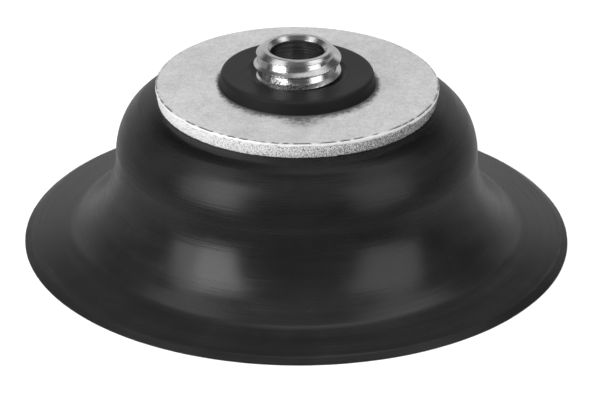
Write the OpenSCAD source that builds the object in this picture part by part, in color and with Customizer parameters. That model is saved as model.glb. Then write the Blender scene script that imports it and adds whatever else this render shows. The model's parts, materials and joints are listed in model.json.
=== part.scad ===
// Deep round vacuum suction cup with a bonded male threaded stub and a steel support plate.
// Millimetres. The origin is the centre of the sealing plane, and +Z runs up the stub's axis.

/* [Sealing lip] */
// Outer diameter of the sealing lip, free
lip_d = 62.4; // [58:0.1:70]
// Height of the lip's top face where its edge bevel starts
lip_edge_h = 0.55; // [0.4:0.05:1.0]
// Width of the bevel round the lip's edge
lip_bevel_w = 0.8; // [0.4:0.05:1.2]
// Height of the blunt tip left at the foot of the bevel
lip_tip_h = 0.06; // [0.04:0.01:0.2]
// Width of the flat land on the underside, at the lip's edge
lip_land_w = 0.8; // [0.4:0.1:1.5]
// Diameter of the crease where the lip meets the flare
crease_d = 51.2; // [49:0.1:54]
// Height of that crease above the sealing plane
crease_h = 1.4; // [1.1:0.05:2.2]
// Distance of the cavity's crease inside the outer one, along the radius
crease_inset = 0.9; // [0.6:0.1:1.2]
// Thickness of the lip under the crease
lip_t = 1.0; // [0.7:0.05:1.1]

/* [Cup wall] */
// Outer diameter at the waist, where the wall stands upright
waist_d = 40.84; // [38:0.02:43]
// Height of the waist above the sealing plane
waist_h = 10.5; // [9.5:0.1:11.5]
// Wall thickness at the waist
wall_t = 2.6; // [2:0.1:3.2]
// Radius of the outer shoulder between the waist and the crown
shoulder_r = 8.2; // [7.5:0.1:9]
// Radius of the cavity's corner under the crown
cavity_corner_r = 4.4; // [3:0.1:4.8]
// Height of the cavity's ceiling above the sealing plane
ceiling_h = 15.4; // [15.2:0.1:15.6]

/* [Crown and sealing boss] */
// Height of the crown's top, which is the underside of the support plate
crown_h = 17.1; // [17:0.05:17.4]
// Diameter of the boss at its top face
boss_top_d = 17.22; // [16.6:0.02:18]
// Diameter of the boss where it meets the plate
boss_base_d = 17.9; // [17.4:0.02:18.6]
// Height of the boss above the plate
boss_h = 1.48; // [1.2:0.02:2]
// Depth of the relief round the stub in the boss's top face
relief_h = 0.1; // [0.05:0.01:0.2]
// Width of that relief outside the thread
relief_w = 0.2; // [0.1:0.05:0.5]
// Break on the boss's top edge
boss_break = 0.18; // [0.05:0.01:0.4]
// Width by which the hole in the ceiling clears the stub's bore, all round
ceiling_hole_gap = 0.6; // [0.4:0.1:1]

/* [Support plate] */
// Diameter of the plate
plate_d = 32.0; // [30:0.1:33]
// Thickness of the plate
plate_t = 1.85; // [1.5:0.05:2.2]
// Roll-over on the punched top edge
plate_roll = 0.24; // [0.1:0.02:0.4]
// Depth of the smooth sheared band under the roll-over
plate_shear = 0.42; // [0.2:0.02:0.8]
// Amount by which the edge below that band tapers in to the underside
plate_taper = 0.24; // [0.1:0.02:0.4]
// Number of elastomer keys through the plate, under the boss
key_count = 6; // [3:1:8]
// Diameter of one key
key_d = 2.0; // [1.4:0.1:2.4]

/* [Threaded stub] */
// Outside diameter over the thread's crests
thread_d = 9.86; // [9.7:0.02:10]
// Pitch of the thread
thread_pitch = 1.5; // [1.5:0.05:1.6]
// Slope of the thread's flanks from the horizontal, in degrees
flank_angle = 30; // [25:1:30]
// Diameter at the thread's root
root_d = 8.16; // [8:0.02:8.4]
// Width of the thread's crest
crest_w = 0.24; // [0.18:0.01:0.3]
// Height of the stub above the boss
stub_h = 2.85; // [2.8:0.01:3.2]
// Diameter of the flat ring at the stub's mouth
mouth_d = 7.74; // [7.4:0.02:8]
// Height of the chamfer outside that ring
mouth_h = 0.88; // [0.7:0.02:1.1]
// Diameter of the vacuum bore
bore_d = 6.0; // [4:0.1:6]
// Chamfer at both ends of the bore
bore_chamfer = 0.33; // [0.1:0.01:0.4]
// Diameter of the plain shank, which carries the plate
shank_d = 9.2; // [9:0.1:9.6]
// Diameter of the anchor flange under the plate
flange_d = 11.8; // [11:0.1:12]
// Thickness of the anchor flange
flange_t = 1.1; // [0.8:0.05:1.1]
// Chamfer on the anchor flange's lower edge
flange_chamfer = 0.3; // [0.1:0.05:0.4]
// Diameter of the staked collar that holds the plate down
stake_d = 10.6; // [10.2:0.1:11]
// Height of the staked collar
stake_h = 0.4; // [0.3:0.05:0.5]
// Taper of the collar's side, and rise of its top towards the shank
stake_taper = 0.12; // [0.05:0.01:0.2]

/* [Flex zones] */
// Height of the cut between the wall and the skirt
wall_cut_h = 8.6; // [8:0.1:9.2]
// Height of the cut between the skirt and the sealing lip
skirt_cut_h = 5.2; // [4.8:0.1:5.8]

/* [Hidden] */
$fn = 96;

// overrun of cutting shapes, overlap of joined ones, and side margin of clipping squares
overrun = 1;
overlap = 0.5;
clip_margin = 5;

// heights
flange_z = crown_h - flange_t;
plate_top = crown_h + plate_t;
boss_top = plate_top + boss_h;
stub_top = boss_top + stub_h;

// outside of the cup
lip_r = lip_d / 2;
waist_r = waist_d / 2;
crease_r = crease_d / 2;
shoulder_x = waist_r - shoulder_r;

// inside of the cup
in_waist_r = waist_r - wall_t;
in_crease_r = crease_r - crease_inset;
in_crease_h = crease_h - lip_t;

// thread: the topmost crest ends where the mouth's chamfer starts
thread_r = thread_d / 2;
root_r = root_d / 2;
shank_r = shank_d / 2;
half_crest = crest_w / 2;
thread_top = stub_top - mouth_h;
groove_count = floor((thread_top - boss_top) / thread_pitch);

// the keys stand between the anchor flange and the rim of the boss
key_circle_r = (flange_d / 2 + boss_top_d / 2) / 2;

rubber = [0.13, 0.13, 0.135];
zinc = [0.74, 0.75, 0.77];
steel = [0.66, 0.67, 0.69];

// height of the middle of crest k, counted upwards from 0
function crest_z(k) = thread_top - half_crest - (groove_count - k) * thread_pitch;

// height of a flank that rises from radius r to the crest
function flank_h(r) = (thread_r - r) * tan(flank_angle);

// radius of the arc that leaves (x0, z0) upright and passes through (x1, z1)
function tangent_r(x0, z0, x1, z1) = (pow(x1 - x0, 2) + pow(z0 - z1, 2)) / (2 * (x1 - x0));

// flare from an upright side at the waist out to a crease, right of the axis
module flare_2d(top_r, foot_r, foot_h) {
    arc_r = tangent_r(top_r, waist_h, foot_r, foot_h);
    difference() {
        translate([0, foot_h]) square([foot_r, waist_h - foot_h]);
        translate([top_r + arc_r, waist_h]) circle(r = arc_r);
    }
}

// upper right quarter of a disc
module quarter_2d(radius) {
    intersection() {
        circle(r = radius);
        square(radius + overrun);
    }
}

// region enclosed by the cup's outer surface, right of the axis
module outer_2d() {
    intersection() {
        union() {
            translate([0, waist_h]) square([shoulder_x, crown_h - waist_h]);
            translate([shoulder_x, waist_h]) circle(r = shoulder_r);
        }
        translate([0, waist_h]) square([waist_r + clip_margin, crown_h - waist_h]);
    }
    flare_2d(waist_r, crease_r, crease_h);
    polygon([
        [0, 0],
        [lip_r, 0],
        [lip_r, lip_tip_h],
        [lip_r - lip_bevel_w, lip_edge_h],
        [crease_r, crease_h],
        [0, crease_h]
    ]);
}

// region of the cavity, right of the axis
module cavity_2d() {
    corner_x = in_waist_r - cavity_corner_r;
    corner_z = ceiling_h - cavity_corner_r;
    land_r = lip_r - lip_land_w;
    translate([0, waist_h]) square([in_waist_r, corner_z - waist_h]);
    translate([0, corner_z]) square([corner_x, cavity_corner_r]);
    translate([corner_x, corner_z]) quarter_2d(cavity_corner_r);
    flare_2d(in_waist_r, in_crease_r, in_crease_h);
    polygon([
        [0, -overrun],
        [land_r, -overrun],
        [land_r, 0],
        [in_crease_r, in_crease_h],
        [0, in_crease_h]
    ]);
}

// the moulding between two heights
module moulding(bottom, top) {
    rotate_extrude()
        intersection() {
            difference() {
                outer_2d();
                cavity_2d();
            }
            translate([0, bottom]) square([lip_r + clip_margin, top - bottom]);
        }
}

// cylinders of the keys' diameter, one at each key's place
module keys(bottom, height) {
    for (i = [0:key_count - 1])
        rotate([0, 0, (i + 0.5) * 360 / key_count])
            translate([key_circle_r, 0, bottom])
                cylinder(d = key_d, h = height);
}

// stub without its bore: anchor flange, shank, staked collar and thread; the thread's crests
// and grooves are rings one pitch apart, so its outside diameter is a true wall all round
module stub_envelope() {
    flange_r = flange_d / 2;
    stake_r = stake_d / 2;
    stake_top = plate_top + stake_h;
    first_crest_foot = crest_z(0) - half_crest;
    rotate_extrude()
        polygon(concat(
            [
                [0, flange_z],
                [flange_r - flange_chamfer, flange_z],
                [flange_r, flange_z + flange_chamfer],
                [flange_r, crown_h],
                [shank_r, crown_h],
                [shank_r, plate_top],
                [stake_r, plate_top],
                [stake_r - stake_taper, stake_top],
                [shank_r, stake_top + stake_taper],
                [shank_r, first_crest_foot - flank_h(shank_r)],
                [thread_r, first_crest_foot]
            ],
            // one groove above each crest but the last
            [for (k = [0:1:groove_count - 1]) for (point = [
                    [thread_r, crest_z(k) + half_crest],
                    [root_r, crest_z(k) + half_crest + flank_h(root_r)],
                    [root_r, crest_z(k + 1) - half_crest - flank_h(root_r)],
                    [thread_r, crest_z(k + 1) - half_crest]
                ]) point],
            [
                [thread_r, thread_top],
                [mouth_d / 2, stub_top],
                [0, stub_top]
            ]
        ));
}

// turned hollow stub, the vacuum passes down its bore
module threaded_stub() {
    bore_r = bore_d / 2;
    // each chamfer cone is centred on an end face
    cone_h = 2 * bore_chamfer;
    cone_r = bore_r + cone_h;
    color(zinc)
        difference() {
            stub_envelope();
            translate([0, 0, flange_z - overrun])
                cylinder(d = bore_d, h = stub_top - flange_z + 2 * overrun);
            translate([0, 0, stub_top - bore_chamfer])
                cylinder(r1 = bore_r, r2 = cone_r, h = cone_h);
            translate([0, 0, flange_z - bore_chamfer])
                cylinder(r1 = cone_r, r2 = bore_r, h = cone_h);
        }
}

// punched steel disc, held between the stub's flange and its staked collar
module support_plate() {
    plate_r = plate_d / 2;
    roll_x = plate_r - plate_roll;
    roll_z = plate_top - plate_roll;
    color(steel)
        difference() {
            rotate_extrude() {
                polygon([
                    [shank_r, crown_h],
                    [plate_r - plate_taper, crown_h],
                    [plate_r, roll_z - plate_shear],
                    [plate_r, roll_z],
                    [roll_x, roll_z],
                    [roll_x, plate_top],
                    [shank_r, plate_top]
                ]);
                translate([roll_x, roll_z]) quarter_2d(plate_roll);
            }
            keys(crown_h - overrun, plate_t + 2 * overrun);
        }
}

// bonded part of the moulding: crown below the plate, keys through it, sealing boss above it
module cup_crown() {
    boss_top_r = boss_top_d / 2;
    color(rubber)
        difference() {
            union() {
                moulding(ceiling_h, crown_h);
                keys(crown_h - overlap, plate_t + 2 * overlap);
                rotate_extrude()
                    polygon([
                        [0, plate_top],
                        [boss_base_d / 2, plate_top],
                        [boss_top_r, boss_top - boss_break],
                        [boss_top_r - boss_break, boss_top],
                        [0, boss_top]
                    ]);
            }
            stub_envelope();
            translate([0, 0, boss_top - relief_h])
                cylinder(d = thread_d + 2 * relief_w, h = overrun);
            // hole through the ceiling, up into the space of the anchor flange
            translate([0, 0, ceiling_h - overrun])
                cylinder(
                    d = bore_d + 2 * ceiling_hole_gap,
                    h = flange_z - ceiling_h + overrun + overlap
                );
        }
}

// wall between the crown and the skirt, which shortens as the cup is pressed down
module cup_wall() {
    color(rubber) moulding(wall_cut_h, ceiling_h);
}

// upper flare, which bends as the lip tilts
module cup_skirt() {
    color(rubber) moulding(skirt_cut_h, wall_cut_h);
}

// lower flare and thin lip, which seats on the workpiece
module sealing_lip() {
    color(rubber) moulding(0, skirt_cut_h);
}

threaded_stub();
support_plate();
cup_crown();
cup_wall();
cup_skirt();
sealing_lip();
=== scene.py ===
"""A vacuum suction cup: an elastomer cup with a flared lip, a punched support disc held in its
crown, an elastomer boss on the disc and a hollow threaded stub through the middle.

The axis is Z and the lip rests on z = 0. The front, where the camera is, is -Y and the right
is +X. Sizes are in mm and become metres when a mesh is made; materials use metres. Profiles
are lists of (radius, height) points, spun round Z.
"""

import json
import math

import bpy
import bmesh
import numpy as np
from mathutils import Matrix, Vector


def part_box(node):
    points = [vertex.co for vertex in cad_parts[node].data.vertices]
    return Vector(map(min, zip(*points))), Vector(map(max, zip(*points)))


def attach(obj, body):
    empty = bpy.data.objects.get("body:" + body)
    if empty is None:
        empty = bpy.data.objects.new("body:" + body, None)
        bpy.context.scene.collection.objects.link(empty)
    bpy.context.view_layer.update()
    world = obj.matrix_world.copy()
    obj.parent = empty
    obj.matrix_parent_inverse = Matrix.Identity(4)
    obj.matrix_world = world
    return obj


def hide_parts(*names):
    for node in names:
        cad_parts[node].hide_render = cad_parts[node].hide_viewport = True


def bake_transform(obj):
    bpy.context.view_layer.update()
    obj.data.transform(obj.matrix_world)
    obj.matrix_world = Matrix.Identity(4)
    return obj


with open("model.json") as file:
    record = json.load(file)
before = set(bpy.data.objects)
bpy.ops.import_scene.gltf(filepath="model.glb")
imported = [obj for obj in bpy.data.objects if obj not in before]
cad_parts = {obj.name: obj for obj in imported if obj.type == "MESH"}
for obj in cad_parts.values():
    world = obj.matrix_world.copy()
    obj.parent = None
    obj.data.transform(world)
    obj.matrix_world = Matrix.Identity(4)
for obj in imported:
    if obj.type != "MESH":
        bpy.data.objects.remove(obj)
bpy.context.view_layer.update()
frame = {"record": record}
scene = bpy.context.scene
MM = 0.001
TAU = 2 * math.pi


# ---------------------------------------------------------------- dimensions, mm
def box_mm(node):
    """The two corners of a CAD piece's bounding box."""
    return [[round(value / MM, 3) for value in corner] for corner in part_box(node)]


mounts = {mount["name"]: mount for mount in frame["record"]["mounts"]}
_, (LIP_R, _, LIP_CUT_Z) = box_mm("sealing_lip")
_, (_, _, SKIRT_CUT_Z) = box_mm("cup_skirt")
_, (WAIST_R, _, CEILING_Z) = box_mm("cup_wall")
(_, _, PLATE_Z0), (PLATE_R, _, PLATE_Z1) = box_mm("support_plate")
_, (_, _, BOSS_Z) = box_mm("cup_crown")
(_, _, STUB_Z0), (_, _, STUB_Z1) = box_mm("threaded_stub")
BORE_R = mounts["vacuum_bore"]["dims"]["r_mm"]
THREAD_R = mounts["thread"]["dims"]["r_mm"]
PITCH = 1.5
WAIST_Z = 10.5
WALL_T = 2.6
BOSS_R, BOSS_FOOT_R = 8.61, 8.82
FLANGE_R, SHANK_R, STAKE_R = 5.9, 4.6, 5.3
BORE_CHAMFER = 0.4

# rubber keys through the plate, on one pitch circle
KEY_R, KEY_CIRCLE_R, KEYS, KEY_SIDES = 1.0, 7.255, 6, 40

# the cup's outer faces: an arc above the waist, an arc flaring out to the crease, then the lip
CUP_COLUMNS = 512
OUTER_STEP, INNER_STEP = 0.17, 0.3
SHOULDER_R = PLATE_R - 0.6
DOME_ARC_R = 8.2
CREASE = (25.6, 1.4)
EDGE_H = 0.55  # height where the lip's bevel starts
BEVEL_W = 0.8
EDGE_R = LIP_R - BEVEL_W
EDGE_ROUND = 0.07

# the cup's inner faces
INNER_R = WAIST_R - WALL_T
INNER_CREASE = (CREASE[0] - 0.9, CREASE[1] - 1.0)
CEILING_ARC_R = 4.4
LAND_W = 0.8

# the stub's flange below the plate, and its staked collar above it, both from the bottom up
FLANGE = [(FLANGE_R - 0.3, STUB_Z0), (FLANGE_R, STUB_Z0 + 0.3), (FLANGE_R, PLATE_Z0)]
STAKE = [(STAKE_R, PLATE_Z1), (STAKE_R - 0.12, PLATE_Z1 + 0.4), (SHANK_R, PLATE_Z1 + 0.52)]


# ---------------------------------------------------------------- profile helpers
def dense(points, step):
    """Splits a polyline so that no part is longer than step, which may be a list, one a part."""
    out = [points[0]]
    for k in range(len(points) - 1):
        start, end = np.array(points[k], float), np.array(points[k + 1], float)
        longest = step[k] if isinstance(step, list) else step
        count = max(1, int(math.ceil(np.linalg.norm(end - start) / longest - 1e-9)))
        out += [tuple(start + (end - start) * t / count) for t in range(1, count + 1)]
    return out


def curve(start, pull, end, count):
    """Points of a quadratic Bezier curve."""
    start, pull, end = (np.array(point, float) for point in (start, pull, end))
    return [
        tuple((1 - t) ** 2 * start + 2 * t * (1 - t) * pull + t * t * end)
        for t in np.linspace(0, 1, count)
    ]


def by_height(radius_at, top, bottom, step):
    """Points of radius_at(z) from top to bottom, evenly spaced, with closer ones at both ends."""
    heights = np.linspace(top, bottom, 4000)
    radii = np.array([radius_at(z) for z in heights])
    travel = np.concatenate([[0], np.cumsum(np.hypot(np.diff(heights), np.diff(radii)))])
    total = travel[-1]
    count = max(2, int(math.ceil(total / step)))
    stops = set(np.linspace(0, total, count + 1)) | {0.03, 0.08, total - 0.03, total - 0.08}
    picked = np.interp(sorted(stops), travel, heights)
    picked[0], picked[-1] = top, bottom
    return [(radius_at(z), z) for z in picked]


def joined(*runs):
    """Runs put end to end, without repeated points or a last point equal to the first."""

    def gap(a, b):
        return math.hypot(a[0] - b[0], a[1] - b[1])

    out = []
    for run in runs:
        for point in run:
            if not out or gap(out[-1], point) > 1e-6:
                out.append(tuple(point))
    if gap(out[-1], out[0]) < 1e-6:
        out.pop()
    return out


def lengths(points):
    """The length along the profile at each of its points."""
    steps = np.linalg.norm(np.diff(np.array(points), axis=0), axis=1)
    return np.concatenate([[0], np.cumsum(steps)])


def unit(value):
    return np.clip(value, 0, 1)


def waves(angle, seed, count, cycles, fade=0.0, along=0.0, drift=0.0):
    """Smooth noise of unit strength, a sum of waves periodic in the angle.

    cycles is the range of waves round the axis, drift the greatest frequency over along, and
    fade how fast the finer waves weaken.
    """
    rng = np.random.default_rng(seed)
    out = np.zeros(np.broadcast(angle, along).shape)
    total = 0.0
    for _ in range(count):
        turns = int(rng.integers(cycles[0], cycles[1] + 1))
        slant = rng.uniform(-drift, drift)
        strength = 1.0 / (1.0 + turns) ** fade
        total += strength * strength / 2
        out += strength * np.cos(turns * angle + slant * along + rng.uniform(0, TAU))
    return out / math.sqrt(total)


# ---------------------------------------------------------------- mesh helpers
def new_object(name, data):
    ob = bpy.data.objects.new(name, data)
    scene.collection.objects.link(ob)
    return ob


def shade(mesh, sharp):
    """Smooth faces, with sharp edges past the given angle in degrees."""
    mesh.polygons.foreach_set("use_smooth", np.ones(len(mesh.polygons), bool))
    mesh.set_sharp_from_angle(angle=math.radians(sharp))


def write_mould(mesh, cosine, sine, along):
    """Writes the texture coordinates: the angle's cosine and sine, and length on the section."""
    attribute = mesh.attributes.new("mould", "FLOAT_VECTOR", "POINT")
    values = np.stack(np.broadcast_arrays(cosine, sine, along), -1)
    attribute.data.foreach_set("vector", values.astype(np.float32).ravel())


def spin(profile, columns):
    """A profile's radii and heights as (rings, columns), with the columns' angles."""
    points = np.array(profile)
    angle = (np.arange(columns) * TAU / columns)[None, :]
    return np.repeat(points[:, :1], columns, 1), np.repeat(points[:, 1:], columns, 1), angle


def ring_solid(name, radius, height, along, extra=None, sharp=35.0):
    """A solid from a closed section. along is each ring's length on the section, (rings, 1)."""
    rings, columns = radius.shape
    angle = np.arange(columns) * TAU / columns
    co = np.stack([radius * np.cos(angle), radius * np.sin(angle), height], -1).reshape(-1, 3) * MM
    i = np.arange(rings)[:, None]
    j = np.arange(columns)[None, :]
    i2, j2 = (i + 1) % rings, (j + 1) % columns
    corners = (i * columns + j, i * columns + j2, i2 * columns + j2, i2 * columns + j)
    quads = np.stack(np.broadcast_arrays(*corners), -1).reshape(-1, 4)

    # turn the faces outwards if the enclosed volume comes out negative
    a, b, c, d = (co[quads[:, k]] for k in range(4))
    volume = np.einsum("ij,ij->i", a, np.cross(b, c)) + np.einsum("ij,ij->i", a, np.cross(c, d))
    if volume.sum() < 0:
        quads = quads[:, ::-1]

    mesh = bpy.data.meshes.new(name)
    mesh.vertices.add(len(co))
    mesh.vertices.foreach_set("co", co.astype(np.float32).ravel())
    mesh.loops.add(quads.size)
    mesh.loops.foreach_set("vertex_index", quads.astype(np.int32).ravel())
    mesh.polygons.add(len(quads))
    mesh.polygons.foreach_set("loop_start", np.arange(0, quads.size, 4, dtype=np.int32))
    mesh.update(calc_edges=True)
    mesh.validate()
    write_mould(mesh, np.cos(angle)[None, :], np.sin(angle)[None, :], along)
    for key, value in (extra or {}).items():
        attribute = mesh.attributes.new(key, "FLOAT", "POINT")
        values = np.broadcast_to(value, radius.shape).astype(np.float32)
        attribute.data.foreach_set("value", values.ravel())
    shade(mesh, sharp)
    return new_object(name, mesh)


def key_pegs(bottom, top):
    """The keys' cylinders, as one mesh of closed prisms."""
    bm = bmesh.new()
    for k in range(KEYS):
        place = (k + 0.5) * TAU / KEYS
        cx, cy = KEY_CIRCLE_R * math.cos(place), KEY_CIRCLE_R * math.sin(place)
        low = [
            bm.verts.new(
                ((cx + KEY_R * math.cos(t)) * MM, (cy + KEY_R * math.sin(t)) * MM, bottom * MM)
            )
            for t in np.arange(KEY_SIDES) * TAU / KEY_SIDES
        ]
        high = [bm.verts.new((v.co.x, v.co.y, top * MM)) for v in low]
        bm.faces.new(low[::-1])
        bm.faces.new(high)
        for i in range(KEY_SIDES):
            i2 = (i + 1) % KEY_SIDES
            bm.faces.new((low[i], low[i2], high[i2], high[i]))
    mesh = bpy.data.meshes.new("pegs")
    bm.to_mesh(mesh)
    bm.free()
    return new_object("pegs", mesh)


def combine(ob, other, operation, sharp=35.0):
    """Applies a boolean, uses up the other object and marks the sharp edges again."""
    modifier = ob.modifiers.new("cut", "BOOLEAN")
    modifier.operation = operation
    modifier.object = other
    modifier.solver = "EXACT"
    depsgraph = bpy.context.evaluated_depsgraph_get()
    mesh = bpy.data.meshes.new_from_object(
        ob.evaluated_get(depsgraph), preserve_all_data_layers=True, depsgraph=depsgraph
    )
    ob.modifiers.clear()
    old = ob.data
    bm = bmesh.new()
    bm.from_mesh(mesh)
    bmesh.ops.remove_doubles(bm, verts=bm.verts, dist=2e-7)
    bm.to_mesh(mesh)
    bm.free()
    ob.data = mesh
    bpy.data.meshes.remove(old)
    bpy.data.objects.remove(other)
    shade(mesh, sharp)


def remap_mould(mesh, outline):
    """Writes the texture coordinates again after a boolean, from each vertex's radius."""
    co = np.zeros(len(mesh.vertices) * 3, np.float32)
    mesh.vertices.foreach_get("co", co)
    co = co.reshape(-1, 3) / MM
    radius = np.maximum(np.hypot(co[:, 0], co[:, 1]), 1e-6)
    old = mesh.attributes.get("mould")
    if old is not None:
        mesh.attributes.remove(old)
    along = np.interp(radius, [point[0] for point in outline], lengths(outline))
    write_mould(mesh, co[:, 0] / radius, co[:, 1] / radius, along)


# ---------------------------------------------------------------- the cup's section
def flare_arc_radius(waist_r, crease):
    """The radius of the arc that leaves the waist upright and ends at the crease."""
    out = crease[0] - waist_r
    return (out**2 + (WAIST_Z - crease[1]) ** 2) / (2 * out)


DOME_ARC_X = WAIST_R - DOME_ARC_R
FLARE_ARC_R = flare_arc_radius(WAIST_R, CREASE)
INNER_FLARE_ARC_R = flare_arc_radius(INNER_R, INNER_CREASE)


def dome_r(z):
    # the arc is pulled in a little near its top
    drop = min(max((z - 14.4) / 2.0, 0.0), 1.0)
    z = z + 0.3 * drop * drop * (3 - 2 * drop)
    return DOME_ARC_X + math.sqrt(DOME_ARC_R**2 - (z - WAIST_Z) ** 2)


def flare_r(z):
    return WAIST_R + FLARE_ARC_R - math.sqrt(FLARE_ARC_R**2 - (z - WAIST_Z) ** 2)


def outer_r(z):
    return dome_r(z) if z >= WAIST_Z else flare_r(z)


def inner_r(z):
    arc_z = CEILING_Z - CEILING_ARC_R
    if z >= arc_z:
        reach = math.sqrt(max(0.0, CEILING_ARC_R**2 - (z - arc_z) ** 2))
        return INNER_R - CEILING_ARC_R + reach
    if z >= WAIST_Z:
        return INNER_R
    return INNER_R + INNER_FLARE_ARC_R - math.sqrt(INNER_FLARE_ARC_R**2 - (z - WAIST_Z) ** 2)


def cup_piece(name, outer, rest, start=0.0, sharp=35.0, distort=None):
    """A piece of the cup: an outer run, its start length, and the rest of the closed section."""
    loop = joined(outer, rest)
    outer_along = lengths(outer) + start
    rest_along = lengths(loop[len(outer) - 1 :])[1:] + outer_along[-1] + 3.0
    radius, height, angle = spin(loop, CUP_COLUMNS)
    if distort:
        radius, height = distort(radius, height, angle)
    along = np.concatenate([outer_along, rest_along])[:, None]
    return ring_solid(name, radius, height, along, sharp=sharp)


# ---------------------------------------------------------------- crown
dome_top = by_height(dome_r, PLATE_Z0 - 0.95, CEILING_Z, OUTER_STEP)
crown_outer = joined(
    [(SHOULDER_R, PLATE_Z0), (SHOULDER_R + 0.22, PLATE_Z0 - 0.02)],
    curve((SHOULDER_R + 0.4, PLATE_Z0 - 0.07), (16.95, PLATE_Z0 - 0.33), dome_top[0], 14),
    dome_top,
)


def build_crown():
    hole_r = BORE_R + 0.6
    hole_edge = (BORE_R + 0.75, CEILING_Z)
    ceiling = [dome_top[-1], (INNER_R - CEILING_ARC_R, CEILING_Z), hole_edge]
    rest = (
        dense(ceiling, [0.6, 0.5])
        + curve(hole_edge, (hole_r, CEILING_Z), (hole_r, CEILING_Z + 0.15), 5)
        + [(hole_r, STUB_Z0)]
        + FLANGE
        + dense([FLANGE[-1], (SHOULDER_R, PLATE_Z0)], 1.0)
    )
    return cup_piece("rubber_crown", crown_outer, rest)


# ---------------------------------------------------------------- boss
def build_boss():
    foot, top = PLATE_Z1, BOSS_Z
    side_start = (BOSS_FOOT_R - 0.03, foot + 0.14)
    side_end = (BOSS_R + 0.03, top - 0.36)
    top_edge = (BOSS_R - 0.40, top)
    sink_edge = (5.8, top)
    sink_low = (SHANK_R + 0.4, top - 0.25)
    profile = joined(
        # foot and side
        [(BOSS_FOOT_R + 0.07, foot)],
        curve((BOSS_FOOT_R + 0.05, foot + 0.02), (BOSS_FOOT_R - 0.01, foot + 0.03), side_start, 5),
        dense([side_start, side_end], 0.055),
        # rounded edge, top face and the countersink round the stub
        curve(side_end, (BOSS_R - 0.02, top - 0.01), top_edge, 11),
        dense([top_edge, sink_edge], 0.14),
        curve(sink_edge, (5.55, top - 0.02), sink_low, 9),
        dense([sink_low, (SHANK_R, top - 0.36)], 0.14),
        # inside, down the stub's collar
        STAKE[::-1],
        [(6.2, foot), (7.6, foot)],
    )
    radius, height, angle = spin(profile, 720)
    base = radius

    # the foot's feather edge wanders a little
    feather = 0.022 * waves(angle, seed=11, count=40, cycles=(3, 60), fade=0.3)
    radius = np.where(base > BOSS_FOOT_R + 0.03, radius + feather, radius)

    # faint rings on the side's upper part and the rounded edge, and a slight swell
    rise = (height - foot) / (top - foot)
    side = (base > BOSS_R - 0.2) & (rise > 0.3)
    rings = 0.006 * np.sin(TAU * (height - foot) / 0.2)
    rings = rings + 0.004 * np.sin(TAU * (height - foot) / 0.12 + 1.0)
    swell = 0.012 * waves(
        angle, seed=12, count=12, cycles=(1, 5), fade=0.3, along=height, drift=1.5
    )
    radius = radius + np.where(side, rings * unit((rise - 0.4) / 0.3), 0.0)
    radius = radius + np.where(base > BOSS_R - 0.1, swell, 0.0)

    # the top face sags and is slightly uneven
    on_top = (rise > 0.999) & (base > SHANK_R + 0.6)
    sag = -0.02 * np.cos((base - 5.6) / 2.6 * math.pi / 2) ** 2
    uneven = 0.004 * waves(
        angle, seed=13, count=10, cycles=(1, 5), fade=0.3, along=radius, drift=0.8
    )
    uneven = uneven * unit((BOSS_R - 0.4 - radius) / 0.6)
    height = height + np.where(on_top, sag + uneven, 0.0)
    return ring_solid("sealing_boss", radius, height, lengths(profile)[:, None] + 40.0)


crown = build_crown()
boss = build_boss()

# the keys belong to the boss and sink into the crown
combine(boss, key_pegs(PLATE_Z0 - 0.35, PLATE_Z1 + 0.3), "UNION")
combine(crown, key_pegs(PLATE_Z0 - 0.35, PLATE_Z0 + 0.3), "DIFFERENCE")
remap_mould(crown.data, crown_outer)


# ---------------------------------------------------------------- wall, skirt and lip
def build_band(name, outer, start, cut_step):
    """A band of the cup between two level cuts, split every cut_step."""
    inner = by_height(inner_r, outer[0][1], outer[-1][1], INNER_STEP)[::-1]
    bottom_cut = dense([outer[-1], inner[0]], cut_step)
    top_cut = dense([inner[-1], outer[0]], cut_step)
    return cup_piece(name, outer, bottom_cut + inner + top_cut, start)


def roughen_lip(radius, height, angle):
    """The trimmed edge's radius and height vary a little, with tiny burrs where the bevel starts."""
    slow = waves(angle, seed=3, count=14, cycles=(2, 18), fade=0.5)
    fine = waves(angle, seed=4, count=60, cycles=(20, 170), fade=0.3)
    burr = np.clip(waves(angle, seed=6, count=50, cycles=(6, 90), fade=0.4), -1.2, 2.2)
    near_rim = unit((radius - (EDGE_R - 0.4)) / 1.1)
    at_edge = unit(1 - np.abs(radius - EDGE_R) / 0.16) * (height > 0.03)
    return (
        radius + near_rim * (0.010 * slow + 0.003 * fine),
        height + at_edge * (0.016 * slow + 0.009 * burr),
    )


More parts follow.
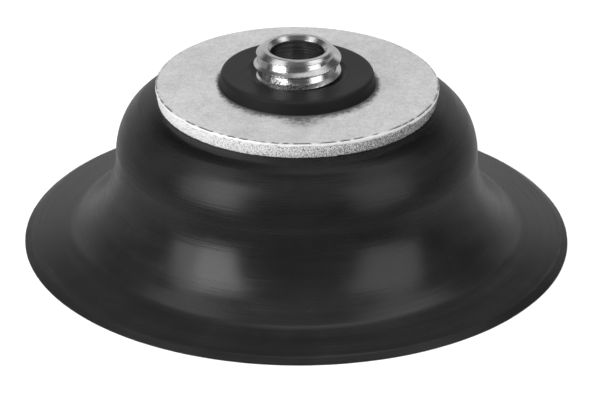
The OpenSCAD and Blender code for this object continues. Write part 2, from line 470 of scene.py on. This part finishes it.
def build_lip(start):
    # outside: the flare, the crease, the lip's slope, then the bevel down to the rim
    slope = (EDGE_H - CREASE[1]) / (EDGE_R - CREASE[0])
    fall = (EDGE_H - 0.06) / BEVEL_W
    flare = by_height(flare_r, LIP_CUT_Z, CREASE[1] + 0.24, OUTER_STEP)
    lip_start = (CREASE[0] + 0.5, CREASE[1] + 0.5 * slope)
    lip_end = (EDGE_R - EDGE_ROUND, EDGE_H - EDGE_ROUND * slope)
    bevel_start = (EDGE_R + EDGE_ROUND, EDGE_H - EDGE_ROUND * fall)
    outer = joined(
        flare,
        curve(flare[-1], CREASE, lip_start, 9),
        dense([lip_start, lip_end], 0.17),
        curve(lip_end, (EDGE_R, EDGE_H), bevel_start, 6),
        dense([bevel_start, (LIP_R - 0.05, 0.06 + 0.05 * fall)], 0.085),
        [(LIP_R - 0.01, 0.055), (LIP_R, 0.035), (LIP_R - 0.02, 0.0)],
    )

    # underneath: the flat land, the inner slope, the inner crease and the inner flare
    inner = by_height(inner_r, LIP_CUT_Z, INNER_CREASE[1] + 0.12, INNER_STEP)[::-1]
    land = (LIP_R - LAND_W, 0.0)
    inner_slope = INNER_CREASE[1] / (INNER_CREASE[0] - land[0])
    slope_start = (land[0] - 0.24, -0.24 * inner_slope)
    slope_end = (INNER_CREASE[0] + 0.4, INNER_CREASE[1] + 0.4 * inner_slope)
    rest = (
        dense([outer[-1], land], 0.18)
        + curve(land, (land[0] - 0.12, 0.0), slope_start, 4)
        + dense([slope_start, slope_end], 0.28)
        + curve(slope_end, INNER_CREASE, inner[0], 6)
        + inner
        + dense([inner[-1], outer[0]], 0.6)
    )
    return cup_piece("rubber_lip", outer, rest, start, sharp=50.0, distort=roughen_lip)


wall_outer = by_height(outer_r, CEILING_Z, SKIRT_CUT_Z, OUTER_STEP)
skirt_outer = by_height(flare_r, SKIRT_CUT_Z, LIP_CUT_Z, OUTER_STEP)
wall_start = lengths(crown_outer)[-1]
skirt_start = wall_start + lengths(wall_outer)[-1]
lip_start_length = skirt_start + lengths(skirt_outer)[-1]
wall = build_band("rubber_wall", wall_outer, wall_start, cut_step=0.9)
skirt = build_band("rubber_skirt", skirt_outer, skirt_start, cut_step=0.7)
lip = build_lip(lip_start_length)


# ---------------------------------------------------------------- support plate
def build_plate():
    rim_r, bottom, top = PLATE_R, PLATE_Z0, PLATE_Z1
    roll = 0.24  # width of the rolled-over upper edge
    roll_drop = roll * 0.85
    shear = top - roll_drop - 0.26  # height where the sheared band ends
    upper_face = [(SHANK_R, top), (BOSS_FOOT_R - 0.4, top), (rim_r - 1.0, top)]
    upper_face += [(rim_r - roll - 0.16, top), (rim_r - roll, top)]
    torn_band = [(rim_r - 0.02, shear - 0.03), (rim_r - 0.24, bottom + 0.08)]
    torn_band += [(rim_r - 0.32, bottom)]
    lower_face = [(rim_r - 0.32, bottom), (rim_r - 1.2, bottom), (SHANK_R, bottom)]
    profile = joined(
        dense(upper_face, [1.3, 0.75, 0.2, 0.055]),
        [
            (rim_r - roll + roll * math.sin(a), top - roll_drop * (1 - math.cos(a)))
            for a in np.linspace(0, math.pi / 2, 8)
        ],
        dense([(rim_r, top - roll_drop), (rim_r, shear)], 0.085),
        dense(torn_band, 0.068),
        dense(lower_face, [0.5, 1.6]),
        dense([(SHANK_R, bottom), (SHANK_R, top)], 0.95),
    )
    radius, height, angle = spin(profile, 1300)
    on_rim = radius > rim_r - 0.34

    # where the smooth sheared band gives way to the torn one: an uneven line
    edge_line = (
        shear
        + 0.06 * waves(angle, seed=21, count=40, cycles=(2, 40), fade=0.4)
        + 0.02 * waves(angle, seed=22, count=40, cycles=(60, 240))
    )
    torn = unit((edge_line - height) / 0.05) * on_rim * (height > bottom + 0.02)
    rough = waves(angle, seed=23, count=170, cycles=(120, 560), along=height, drift=44.0)
    rough += 0.6 * waves(angle, seed=24, count=60, cycles=(20, 120), along=height, drift=12.0)
    radius = radius + torn * (0.019 * np.clip(rough, -2.2, 1.6) - 0.03)

    # the roll-over's depth wanders, and the bottom edge is slightly ragged
    rolled = on_rim * unit((height - (top - roll * 0.9)) / 0.1) * (height < top - 0.001)
    height = height + rolled * 0.009 * waves(angle, seed=25, count=40, cycles=(8, 160), fade=0.2)
    low = on_rim * unit((bottom + 0.12 - height) / 0.12)
    radius = radius + low * 0.02 * waves(angle, seed=26, count=80, cycles=(20, 260), fade=0.1)

    # a fine line where the roll-over starts and another at the sheared band's lower edge, both
    # broken here and there; the plate's material paints them dark as painted shade along these edges
    upper_part = unit(0.95 + 0.8 * waves(angle, seed=28, count=50, cycles=(3, 90), fade=0.25))
    lower_part = unit(0.2 + 0.9 * waves(angle, seed=29, count=50, cycles=(3, 120), fade=0.2))
    upper_line = unit(1.5 - np.abs(height - (top - 0.06)) / 0.045)
    upper_line = upper_line * on_rim * (radius < rim_r - 0.01) * upper_part
    lower_line = unit(1 - np.abs(height - edge_line - 0.03) / 0.05) * on_rim * lower_part

    # the upper face isn't perfectly flat between the boss and the rim
    bend = 0.006 * waves(
        angle, seed=27, count=16, cycles=(1, 5), fade=0.3, along=radius, drift=0.5
    )
    on_face = unit((height - (top - 0.05)) / 0.05)
    between = unit((radius - 9.2) / 1.5) * unit((rim_r - 0.3 - radius) / 1.0)
    height = height + on_face * bend * between
    extra = {
        "torn": torn,
        "rim": on_rim * unit((top - 0.085 - height) / 0.05),
        "line": np.maximum(upper_line, lower_line),
    }
    along = lengths(profile)[:, None]
    return ring_solid("support_disc", radius, height, along, extra=extra, sharp=60.0)


plate = build_plate()
combine(plate, key_pegs(PLATE_Z0 - 0.6, PLATE_Z1 + 0.6), "DIFFERENCE", sharp=60.0)


# ---------------------------------------------------------------- threaded stub
THREAD_CREST_HALF = 0.045
THREAD_STEEP, THREAD_GENTLE, THREAD_UNDER = 1.65, 0.34, 1.75  # fall in radius per mm of height
THREAD_SOFT = 0.022  # how far the thread's corners are blended
MOUTH_R = 3.95
MOUTH_CHAMFER_H = 0.86


def soft_max(a, b):
    return THREAD_SOFT * np.logaddexp(a / THREAD_SOFT, b / THREAD_SOFT)


def soft_min(a, b):
    return -soft_max(-a, -b)


def thread_radius(angle, height):
    """The thread's radius before its chamfer."""
    # turns of the helix above the first crest, which starts at the right-hand side, +X
    turn = angle / TAU
    climb = (height - (BOSS_Z + 0.16)) / PITCH - turn
    crest = np.floor(climb)
    over_crest = (climb - crest) * PITCH  # height over the crest below, 0 to one pitch
    crest_turn = turn + crest

    # a steep facet lies over each crest, then a flatter flank; the facet's height changes
    # with the turn
    facet = (
        0.31
        + 0.22 * unit((crest_turn - 0.68) / 0.3)
        - 0.08 * unit((0.66 - crest_turn) / 0.15) * (crest_turn > 0.2)
    )
    half = THREAD_CREST_HALF
    steep = np.clip(np.minimum(over_crest, facet + half) - half, 0, None)
    gentle = np.clip(over_crest - half - facet, 0, None)
    over = THREAD_R - steep * THREAD_STEEP - gentle * THREAD_GENTLE
    under = THREAD_R - np.clip(PITCH - over_crest - half, 0, None) * THREAD_UNDER
    return np.minimum(soft_max(over, under), THREAD_R)


def build_stub():
    columns = 500
    top = STUB_Z1
    outside = np.concatenate(
        [
            np.linspace(PLATE_Z1 + 0.62, BOSS_Z - 0.35, 4)[:-1],
            np.linspace(BOSS_Z - 0.35, top - 0.03, 128),
        ]
    )
    height, _, angle = spin(np.stack([outside, outside], 1), columns)
    wavy = height + 0.010 * waves(angle, seed=31, count=8, cycles=(1, 4))

    # the turned chamfer at the mouth cuts the thread
    chamfer = MOUTH_R + (top - wavy) * (THREAD_R - MOUTH_R) / MOUTH_CHAMFER_H
    radius = soft_min(thread_radius(angle, wavy), chamfer)

    # slightly torn flanks, and a rough foot that reaches highest on the left
    flank = unit((chamfer - radius) / 0.1)
    coarse = waves(angle, seed=33, count=50, cycles=(2, 22), fade=0.2, along=wavy, drift=46.0)
    fine = waves(angle, seed=36, count=40, cycles=(20, 90), fade=0.2, along=wavy, drift=30.0)
    radius = radius + (0.0004 + 0.0006 * flank) * coarse + 0.0005 * flank * fine
    left = 0.5 - 0.5 * np.cos(angle - 0.4)
    patchy = waves(angle, seed=34, count=30, cycles=(2, 16), fade=0.3, along=wavy, drift=3.0)
    foot = unit((BOSS_Z + 0.25 + 0.75 * left**3 - wavy) / 0.4) * unit(0.45 + 0.8 * patchy)
    radius = radius + foot * 0.010 * waves(
        angle, seed=35, count=90, cycles=(30, 200), along=wavy, drift=34.0
    )

    # below the outside rings: underside, flange, shank and collar
    chamfer_r = BORE_R + BORE_CHAMFER
    below = dense([(chamfer_r, STUB_Z0), FLANGE[0]], 0.8) + FLANGE[1:]
    below += [(SHANK_R, PLATE_Z0), (SHANK_R, PLATE_Z1)] + STAKE

    # after them: the mouth's flat ring, the bore's chamfer and the bore
    ring_edge = (MOUTH_R - 0.07, top)
    inner_edge = (chamfer_r + 0.03, top)
    chamfer_top = (chamfer_r - 0.02, top - 0.03)
    chamfer_low = (BORE_R + 0.02, top - BORE_CHAMFER)
    bore_top = (BORE_R, top - BORE_CHAMFER - 0.06)
    runs = (
        curve((MOUTH_R + 0.03, top - 0.02), (MOUTH_R - 0.01, top), ring_edge, 4),
        dense([ring_edge, inner_edge], 0.12),
        curve(inner_edge, (chamfer_r, top), chamfer_top, 4),
        dense([chamfer_top, chamfer_low], 0.05),
        curve(chamfer_low, (BORE_R, top - BORE_CHAMFER - 0.02), bore_top, 3),
        dense([bore_top, (BORE_R, STUB_Z0 + BORE_CHAMFER)], 0.35),
    )
    after = [point for run in runs for point in run[1:]]

    below_r, below_z, _ = spin(below, columns)
    after_r, after_z, _ = spin(after, columns)
    radius = np.concatenate([below_r, radius, after_r])
    height = np.concatenate([below_z, height, after_z])
    along = lengths(np.stack([radius.mean(1), height.mean(1)], 1))[:, None]
    extra = {
        "foot": np.concatenate([np.zeros(below_r.shape), foot, np.zeros(after_r.shape)]),
        "inside": unit((BORE_R + 0.05 - radius) / 0.05),
    }
    return ring_solid("hollow_stub", radius, height, along, extra=extra, sharp=28.0)


stub = build_stub()


# ---------------------------------------------------------------- shader helpers
def rgba(colour):
    """A colour with alpha, from a grey level or three channels."""
    return (*colour, 1) if isinstance(colour, tuple) else (colour, colour, colour, 1)


class ShaderGraph:
    """Fills the node tree of a material or world. Most methods return an output socket."""

    def __init__(self, block, output="OutputMaterial", surface="BsdfPrincipled"):
        self.block = block
        block.use_nodes = True
        self.tree = block.node_tree
        self.tree.nodes.clear()
        self.output = self.node(output)
        self.surface = self.node(surface)
        self.feed(self.output.inputs[0], self.surface.outputs[0])

    def feed(self, socket, value):
        if isinstance(value, bpy.types.NodeSocket):
            self.tree.links.new(value, socket)
        else:
            socket.default_value = value

    def set(self, **inputs):
        """Feeds the surface shader; underscores in a name stand for spaces."""
        for key, value in inputs.items():
            self.feed(self.surface.inputs[key.replace("_", " ")], value)

    def node(self, kind, inputs=None, **props):
        node = self.tree.nodes.new("ShaderNode" + kind)
        for key, value in props.items():
            setattr(node, key, value)
        for key, value in (inputs or {}).items():
            self.feed(node.inputs[key], value)
        return node

    def math(self, operation, *values, clamp=False):
        inputs = dict(enumerate(values))
        return self.node("Math", inputs, operation=operation, use_clamp=clamp).outputs[0]

    def add(self, a, b, clamp=False):
        return self.math("ADD", a, b, clamp=clamp)

    def sub(self, a, b, clamp=False):
        return self.math("SUBTRACT", a, b, clamp=clamp)

    def mul(self, a, b, clamp=False):
        return self.math("MULTIPLY", a, b, clamp=clamp)

    def hypotenuse(self, x, y):
        return self.math("SQRT", self.add(self.mul(x, x), self.mul(y, y)))

    def stretch(self, vector, factors):
        return self.node("VectorMath", {0: vector, 1: factors}, operation="MULTIPLY").outputs[0]

    def tint(self, colour, shade):
        factors = self.node("CombineXYZ", {0: shade, 1: shade, 2: shade}).outputs[0]
        return self.stretch(colour, factors)

    def split(self, vector):
        return self.node("SeparateXYZ", {0: vector}).outputs

    def mould(self):
        return self.node("Attribute", attribute_name="mould").outputs["Vector"]

    def mask(self, name):
        return self.node("Attribute", attribute_name=name).outputs["Fac"]

    def position(self):
        return self.node("TexCoord").outputs["Object"]

    def noise(self, vector, scale=1.0, detail=3.0, rough=0.5, distortion=0.0):
        inputs = {"Vector": vector, "Scale": scale, "Detail": detail}
        inputs |= {"Roughness": rough, "Distortion": distortion}
        return self.node("TexNoise", inputs).outputs["Fac"]

    def ramp(self, value, stops):
        """Colours or greys at positions along the value."""
        node = self.node("ValToRGB", {0: value})
        elements = node.color_ramp.elements
        while len(elements) < len(stops):
            elements.new(0.5)
        for element, (position, colour) in zip(elements, stops):
            element.position = position
            element.color = rgba(colour)
        return node.outputs["Color"]

    def span(self, value, over, to, smooth=False):
        """Maps the range over to the range to, and holds the ends."""
        inputs = {0: value, 1: over[0], 2: over[1], 3: to[0], 4: to[1]}
        kind = "SMOOTHSTEP" if smooth else "LINEAR"
        return self.node("MapRange", inputs, interpolation_type=kind).outputs[0]

    def rise(self, value, start, end):
        return self.span(value, over=(start, end), to=(0.0, 1.0), smooth=True)

    def fall(self, value, start, end):
        return self.span(value, over=(start, end), to=(1.0, 0.0), smooth=True)

    def mix(self, weight, a, b):
        """b may be a grey level."""
        b = rgba(b) if isinstance(b, float) else b
        return self.node("Mix", {0: weight, 6: a, 7: b}, data_type="RGBA").outputs[2]

    def bump(self, height, distance, strength=1.0, normal=None):
        inputs = {"Distance": distance, "Strength": strength, "Height": height}
        if normal is not None:
            inputs["Normal"] = normal
        return self.node("Bump", inputs).outputs[0]


# ---------------------------------------------------------------- rubber materials
def rubber_graph(name, streak, tone, rough, rough_along):
    """What both rubbers share: streaky relief, mottled colour and roughness.

    tone is the mean grey, rough the range of broad roughness, and rough_along lists further
    roughness as (length range, values). Returns graph, position, length, roughness, colour.
    """
    g = ShaderGraph(bpy.data.materials.new(name))
    mould = g.mould()
    fine = g.noise(g.stretch(mould, (1.6, 1.6, 7.5)), rough=0.55)
    middle = g.noise(g.stretch(mould, (1.1, 1.1, 2.6)), detail=2.0)
    broad = g.noise(g.stretch(mould, (0.9, 0.9, 0.6)), detail=2.0)
    position = g.position()
    grain = g.noise(position, scale=9000.0, detail=2.0, rough=0.6)
    patch = g.noise(position, scale=260.0, rough=0.55)

    relief = g.add(g.mul(fine, streak), g.mul(middle, 1.1 * streak))
    relief = g.add(relief, g.mul(grain, 0.22))
    g.set(Normal=g.bump(relief, distance=0.000010), IOR=1.5)

    length = g.split(mould)[2]
    roughness = g.add(
        g.span(fine, over=(0.3, 0.7), to=(-0.05, 0.05)),
        g.span(broad, over=(0.3, 0.7), to=rough),
    )
    for over, to in rough_along:
        roughness = g.add(roughness, g.span(length, over, to))
    roughness = g.add(roughness, g.span(patch, over=(0.3, 0.7), to=(-0.02, 0.03)))

    dark = (tone * 0.8, tone * 0.8, tone * 0.81)
    pale = (tone * 1.25, tone * 1.25, tone * 1.24)
    mottle = g.add(g.mul(broad, 0.6), g.mul(patch, 0.4))
    return g, position, length, roughness, g.ramp(mottle, [(0.3, dark), (0.7, pale)])


def cup_rubber():
    g, position, length, roughness, colour = rubber_graph(
        "elastomer_semigloss",
        streak=1.0,
        tone=0.0088,
        rough=(0.255, 0.305),
        rough_along=[((8.0, 13.0), (0.0, -0.05)), ((2.0, 4.5), (-0.04, 0.0))],
    )
    # painted light and shade along the section: darkest at the shoulder under the plate's rim, then
    # paler, darker lower on the dome and paler again on the flare and lip
    shade = g.span(length, over=(1.5, 4.2), to=(0.25, 1.45))
    shade = g.mul(shade, g.span(length, over=(4.4, 6.4), to=(1.0, 0.766)))
    shade = g.mul(shade, g.span(length, over=(11.0, 16.0), to=(1.0, 1.25)))

    # the trimmed bevel round the lip is duller than the moulded faces
    x, y, _ = g.split(position)
    bevel_band = ((EDGE_R - 0.02) * MM, (EDGE_R + 0.08) * MM)
    bevel = g.span(g.hypotenuse(x, y), over=bevel_band, to=(1.0, 0.3))
    level = g.span(length, over=(7.0, 12.0), to=(0.35, 0.5))
    g.set(Specular_IOR_Level=g.mul(bevel, level))
    g.set(Roughness=roughness, Base_Color=g.tint(colour, shade))
    return g.block


def boss_rubber():
    g, _, _, roughness, colour = rubber_graph(
        "elastomer_boss",
        streak=1.2,
        tone=0.0085,
        rough=(0.375, 0.425),
        rough_along=[((8.0, 13.0), (0.0, 0.035))],
    )
    # the top is smoother and shinier than the side; its colour is a little darker, which is painted
    # shade
    upward = g.split(g.node("NewGeometry").outputs["Normal"])[2]
    side_to_top = (0.6, 0.95)
    shade = g.span(upward, side_to_top, to=(1.3, 1.25))
    g.set(Specular_IOR_Level=g.span(upward, side_to_top, to=(0.144, 0.4)))
    g.set(Roughness=g.add(roughness, g.span(upward, side_to_top, to=(0.14, 0.0))))
    g.set(Base_Color=g.tint(colour, shade))
    return g.block


# ---------------------------------------------------------------- plate material
def plate_dust_shade_and_reflection(g, position, grain, fine):
    """Dark marks on the plate's upper face: a fuzzy ring round the boss, part dust and part painted
    shade where the boss meets the plate, and a painted reflection of the boss and stub in front.
    """
    x, y, z = g.split(position)
    distance = g.hypotenuse(x, y)
    speck = g.add(grain, fine)

    # the ring's reach in mm: fine radial hairs, a slow wander and more of it in front
    hairs = g.noise(g.stretch(g.mould(), (26.0, 26.0, 0.9)), rough=0.6)
    wander = g.noise(g.stretch(g.mould(), (1.6, 1.6, 0.0)), detail=2.0)
    front = g.span(g.math("DIVIDE", y, distance), over=(-1.0, -0.2), to=(1.2, 0.0))
    slow = g.add(front, g.span(wander, over=(0.35, 0.65), to=(0.35, 0.75)))
    reach = g.add(g.span(hairs, over=(0.3, 0.7), to=(-0.12, 0.14)), slow)
    off = g.sub(g.mul(distance, 1000.0), BOSS_FOOT_R + 0.02)
    near = g.sub(1.0, g.math("DIVIDE", off, reach), clamp=True)
    # the ring is part dust and part painted shade where the boss meets the plate
    halo = g.add(
        g.span(near, over=(0.0, 0.9), to=(0.0, 1.3)),
        g.span(speck, over=(0.8, 1.2), to=(-0.4, 0.3)),
        clamp=True,
    )
    halo = g.mul(halo, g.span(near, over=(0.0, 0.2), to=(0.0, 1.0)))
    halo = g.mul(halo, g.math("LESS_THAN", distance, (BOSS_FOOT_R + 2.4) * MM))

    # the painted reflection of the boss and stub in front: an ellipse, its centre and half-widths in
    # metres
    across = g.math("DIVIDE", g.sub(x, 0.0005), 0.0033)
    deep = g.math("DIVIDE", g.add(y, 0.0092), 0.0034)
    near = g.sub(1.0, g.hypotenuse(across, deep), clamp=True)
    painted_reflection = g.add(
        g.span(near, over=(0.0, 0.85), to=(0.0, 1.05)),
        g.span(speck, over=(0.8, 1.2), to=(-0.25, 0.3)),
        clamp=True,
    )
    painted_reflection = g.mul(painted_reflection, g.span(near, over=(0.0, 0.25), to=(0.0, 1.0)))

    # dust and painted shade in the ring, and the painted reflection in front
    dust_shade_and_reflection = g.math("MAXIMUM", g.math("POWER", halo, 0.9), g.mul(painted_reflection, 1.0))
    return g.mul(dust_shade_and_reflection, g.math("GREATER_THAN", z, (PLATE_Z1 - 0.1) * MM), clamp=True)


def plate_zinc():
    g = ShaderGraph(bpy.data.materials.new("plate_zinc_satin"))
    position = g.position()
    torn, rim, line = g.mask("torn"), g.mask("rim"), g.mask("line")
    grain = g.noise(position, scale=5600.0, rough=0.65)
    fine = g.noise(position, scale=1700.0, rough=0.55)
    cloud = g.noise(position, scale=330.0, distortion=0.4)

    # the torn band's pits get darker towards the right and paler towards the left: painted shade on
    # the right, painted light on the left
    pits = g.noise(position, scale=7600.0, detail=2.0, rough=0.7)
    x = g.split(position)[0]
    pits = g.sub(pits, g.span(x, over=(-0.013, 0.016), to=(-0.075, 0.13)))

    tone = g.add(g.mul(grain, 0.55), g.add(g.mul(fine, 0.25), g.mul(cloud, 0.2)))
    face_stops = [(0.38, (0.43, 0.43, 0.435)), (0.5, (0.575, 0.575, 0.58)), (0.62, 0.70)]
    rim_stops = [(0.3, (0.84, 0.84, 0.85)), (0.6, 0.96)]
    torn_stops = [(0.38, (0.16, 0.16, 0.165)), (0.46, (0.78, 0.78, 0.785)), (0.58, 0.98)]
    rim_noise = g.noise(position, scale=3000.0, rough=0.6)
    # dust, painted shade round the boss and a painted reflection of the boss and stub in front, all
    # darkening the plate's colour
    dust_shade_and_reflection = plate_dust_shade_and_reflection(g, position, grain, fine)
    dust_and_shade_grey = 0.03
    colour = g.mix(rim, g.ramp(tone, face_stops), g.ramp(rim_noise, rim_stops))
    colour = g.mix(torn, colour, g.ramp(pits, torn_stops))
    # painted shade along the rim's fine lines
    colour = g.mix(g.mul(line, 1.0, clamp=True), colour, dust_and_shade_grey)
    colour = g.mix(g.mul(dust_shade_and_reflection, 0.93), colour, dust_and_shade_grey)

    # the painted shade, painted reflection and dust marks are less metallic
    unmarked = g.sub(1.0, g.math("MAXIMUM", dust_shade_and_reflection, g.mul(line, 0.8)))
    metallic = g.mul(g.add(g.mul(rim, -0.05), 0.4), unmarked, clamp=True)

    roughness = g.add(
        g.span(fine, over=(0.3, 0.7), to=(0.44, 0.54)),
        g.span(cloud, over=(0.3, 0.7), to=(-0.03, 0.03)),
    )
    roughness = g.add(roughness, g.mul(rim, -0.1))
    roughness = g.add(roughness, g.mul(torn, 0.1))
    roughness = g.add(roughness, g.mul(dust_shade_and_reflection, 0.3), clamp=True)

    relief = g.add(g.mul(grain, 0.5), g.mul(fine, 0.9))
    normal = g.bump(relief, distance=0.0000032)
    normal = g.bump(pits, distance=0.00003, strength=torn, normal=normal)
    g.set(Base_Color=colour, Metallic=metallic, Roughness=roughness, Normal=normal)
    return g.block


# ---------------------------------------------------------------- stub material
def stub_zinc():
    g = ShaderGraph(bpy.data.materials.new("stub_zinc_turned"))
    mould = g.mould()
    foot = g.mask("foot")
    position = g.position()

    # turning lines round the axis, from fine to coarse
    fine = g.noise(g.stretch(mould, (0.8, 0.8, 11.0)), rough=0.6)
    middle = g.noise(g.stretch(mould, (0.8, 0.8, 5.0)), detail=2.0)
    coarse = g.noise(g.stretch(mould, (1.5, 1.5, 2.6)), rough=0.6)
    mottle = g.noise(position, scale=900.0, detail=4.0, rough=0.6)
    pits = g.noise(position, scale=7000.0, rough=0.7)

    outside = g.ramp(mottle, [(0.3, (0.80, 0.80, 0.81)), (0.6, 0.92)])
    bore = g.ramp(middle, [(0.35, 0.50), (0.65, 0.80)])
    pitted = g.ramp(pits, [(0.44, 0.05), (0.56, 0.86)])
    colour = g.mix(foot, g.mix(g.mask("inside"), outside, bore), pitted)

    roughness = g.add(
        g.span(middle, over=(0.3, 0.7), to=(0.14, 0.23)),
        g.span(mottle, over=(0.3, 0.7), to=(-0.02, 0.04)),
    )
    roughness = g.add(roughness, g.mul(foot, 0.2))

    relief = g.add(g.mul(fine, 0.8), g.add(g.mul(middle, 1.6), g.mul(coarse, 3.0)))
    normal = g.bump(relief, distance=0.0000060)
    normal = g.bump(pits, distance=0.00002, strength=foot, normal=normal)
    g.set(Base_Color=colour, Metallic=1.0, Roughness=roughness, Normal=normal)
    return g.block


def dress(objects, material):
    for ob in objects:
        ob.data.materials.clear()  # a boolean may leave an empty slot
        ob.data.materials.append(material)


dress((crown, wall, skirt, lip), cup_rubber())
dress((boss,), boss_rubber())
dress((plate,), plate_zinc())
dress((stub,), stub_zinc())

# ---------------------------------------------------------------- bodies
for ob in (stub, plate, crown, boss):
    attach(ob, "hub")
# each band of the cup, with the upper and lower bodies and the heights it spans; here only its
# transform is baked into the mesh
for ob, upper, lower, start_z, end_z in (
    (wall, "hub", "wall", CEILING_Z, SKIRT_CUT_Z),
    (skirt, "wall", "skirt", SKIRT_CUT_Z, LIP_CUT_Z),
    (lip, "skirt", "lip", LIP_CUT_Z, 2.2),
):
    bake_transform(ob)
# object, the CAD piece it replaces, and its slot
for ob, node, slot in (
    (stub, "threaded_stub", "stub_zinc"),
    (plate, "support_plate", "plate_zinc"),
    (crown, "cup_crown", "elastomer"),
    (boss, "cup_crown", "elastomer"),
    (wall, "cup_wall", "elastomer"),
    (skirt, "cup_skirt", "elastomer"),
    (lip, "sealing_lip", "elastomer"),
):
    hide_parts(node)


# ---------------------------------------------------------------- floor
def floor_material():
    g = ShaderGraph(bpy.data.materials.new("floor_pale"))
    cloud = g.noise(g.position(), scale=6.0, detail=2.0)
    g.set(Base_Color=g.ramp(cloud, [(0.3, 0.86), (0.7, 0.88)]))
    g.set(Roughness=0.8, Specular_IOR_Level=0.1)
    # from below it's clear, so that the cup's underside can be looked at
    from_below = g.node("NewGeometry").outputs["Backfacing"]
    clear = g.node("BsdfTransparent").outputs[0]
    either = g.node("MixShader", {0: from_below, 1: g.surface.outputs[0], 2: clear})
    g.feed(g.output.inputs[0], either.outputs[0])
    return g.block


def build_floor():
    half, z = 3, -0.00005
    bm = bmesh.new()
    for x, y in ((-half, -half), (half, -half), (half, half), (-half, half)):
        bm.verts.new((x, y, z))
    bm.faces.new(bm.verts[:])
    mesh = bpy.data.meshes.new("floor")
    bm.to_mesh(mesh)
    bm.free()
    ob = new_object("floor", mesh)
    mesh.materials.append(floor_material())
    ob.visible_glossy = False


build_floor()

# ---------------------------------------------------------------- lights
LIGHT_AIM = Vector((0, 0, 0.012))
# name, azimuth from the front (positive to the right) and elevation in degrees, distance,
# width and height in metres, radiance, and whether it shows in reflections
LIGHTS = (
    ("box_left_near", -46.5, 21.0, 0.9, 0.36, 0.78, 3.3, True),
    ("box_left_far", -66, 21.0, 0.9, 0.26, 0.78, 1.7, True),
    ("box_right", 56, 21.0, 0.9, 0.60, 0.78, 1.25, True),
    ("overhead_silk", 0, 89, 1.3, 1.9, 1.9, 2.3, False),
    ("left_silk", -50, 14, 1.1, 0.6, 0.7, 4.5, False),
)
for name, azimuth, elevation, distance, width, height, radiance, glossy in LIGHTS:
    a, e = math.radians(azimuth), math.radians(elevation)
    outward = Vector((math.sin(a) * math.cos(e), -math.cos(a) * math.cos(e), math.sin(e)))
    light = bpy.data.lights.new(name, "AREA")
    light.shape = "RECTANGLE"
    light.size, light.size_y = width, height
    light.energy = radiance * math.pi * width * height
    light.color = (1, 1, 1)
    ob = new_object(name, light)
    ob.location = LIGHT_AIM + outward * distance
    ob.rotation_mode = "QUATERNION"
    ob.rotation_quaternion = (-outward).to_track_quat("-Z", "Y")
    ob.visible_glossy = glossy


# ---------------------------------------------------------------- world
# soft-edged patches at the sides: azimuth from the front and half-width, lowest and highest
# elevation, all in degrees, and brightness
WORLD_PATCHES = (
    (-85, 22, 46, 69, 0.85),
    (84, 23, 45, 69, 0.85),
    (-99, 31, -31, -8, 0.22),
    (100, 31, -31, -8, 0.22),
    (-114, 16, -10, 10, 0.14),
    (114, 16, -10, 10, 0.12),
)


def build_world():
    """A dim room: a lit backdrop behind, a pale ceiling, a table below and a few bright patches."""
    g = ShaderGraph(bpy.data.worlds.new("studio"), output="OutputWorld", surface="Background")
    scene.world = g.block
    x, y, z = g.split(g.node("TexCoord").outputs["Generated"])
    back = g.math("DIVIDE", y, g.math("MAXIMUM", g.hypotenuse(x, y), 0.001))

    behind = g.rise(back, 0.45, 0.95)
    backdrop = g.mul(behind, g.mul(g.fall(z, 0.38, 0.53), g.rise(z, -0.62, -0.44)))
    backdrop = g.mul(backdrop, g.span(z, over=(0.18, 0.38), to=(0.74, 1.0), smooth=True))
    ceiling_depth = g.span(back, over=(-0.75, -0.1), to=(0.25, 1.0), smooth=True)
    ceiling = g.mul(g.rise(z, 0.79, 0.95), ceiling_depth)
    table = g.mul(g.fall(z, -0.56, -0.34), g.fall(back, 0.34, 0.64))
    room = 0.072
    glow = g.add(g.mul(backdrop, 0.54), room)
    glow = g.add(glow, g.add(g.mul(ceiling, 0.16), g.mul(table, 0.42)))

    azimuth = g.math("ARCTAN2", x, g.mul(y, -1.0))
    soft = 0.03
    for centre, half, lowest, highest, brightness in WORLD_PATCHES:
        across = g.math("ABSOLUTE", g.sub(azimuth, math.radians(centre)))
        across = g.fall(across, math.radians(half - 2), math.radians(half + 4))
        low, high = math.sin(math.radians(lowest)), math.sin(math.radians(highest))
        upright = g.mul(g.rise(z, low - soft, low + soft), g.fall(z, high - soft, high + soft))
        glow = g.add(glow, g.mul(g.mul(across, upright), brightness))

    # a small lamp above, a little behind and to the right
    lamp = g.mul(g.rise(x, -0.2, -0.05), g.fall(x, 0.52, 0.66))
    lamp = g.mul(lamp, g.mul(g.rise(y, -0.03, 0.05), g.fall(y, 0.32, 0.42)))
    lamp = g.mul(lamp, g.rise(z, 0.65, 0.75))
    g.set(Color=(1, 1, 1, 1), Strength=g.add(glow, g.mul(lamp, 0.5)))


build_world()


# ---------------------------------------------------------------- camera
def build_camera():
    place = (0.0004, -0.3258, 0.1666)
    pitch, roll = math.radians(26.59), 0.0066  # looking down, and turned about the view axis
    data = bpy.data.cameras.new("camera")
    camera = new_object("camera", data)
    forward = Vector((0, math.cos(pitch), -math.sin(pitch)))
    level_right = Vector((1, 0, 0))
    level_up = level_right.cross(forward)
    right = level_right * math.cos(roll) + level_up * math.sin(roll)
    up = level_up * math.cos(roll) - level_right * math.sin(roll)
    rows = [(right[i], up[i], -forward[i], place[i]) for i in range(3)]
    camera.matrix_world = Matrix((*rows, (0, 0, 0, 1)))
    data.sensor_width = 36.0
    data.lens = 190.2
    data.clip_start, data.clip_end = 0.01, 20
    scene.camera = camera


build_camera()
scene.view_settings.view_transform = "Standard"
scene.view_settings.look = "None"
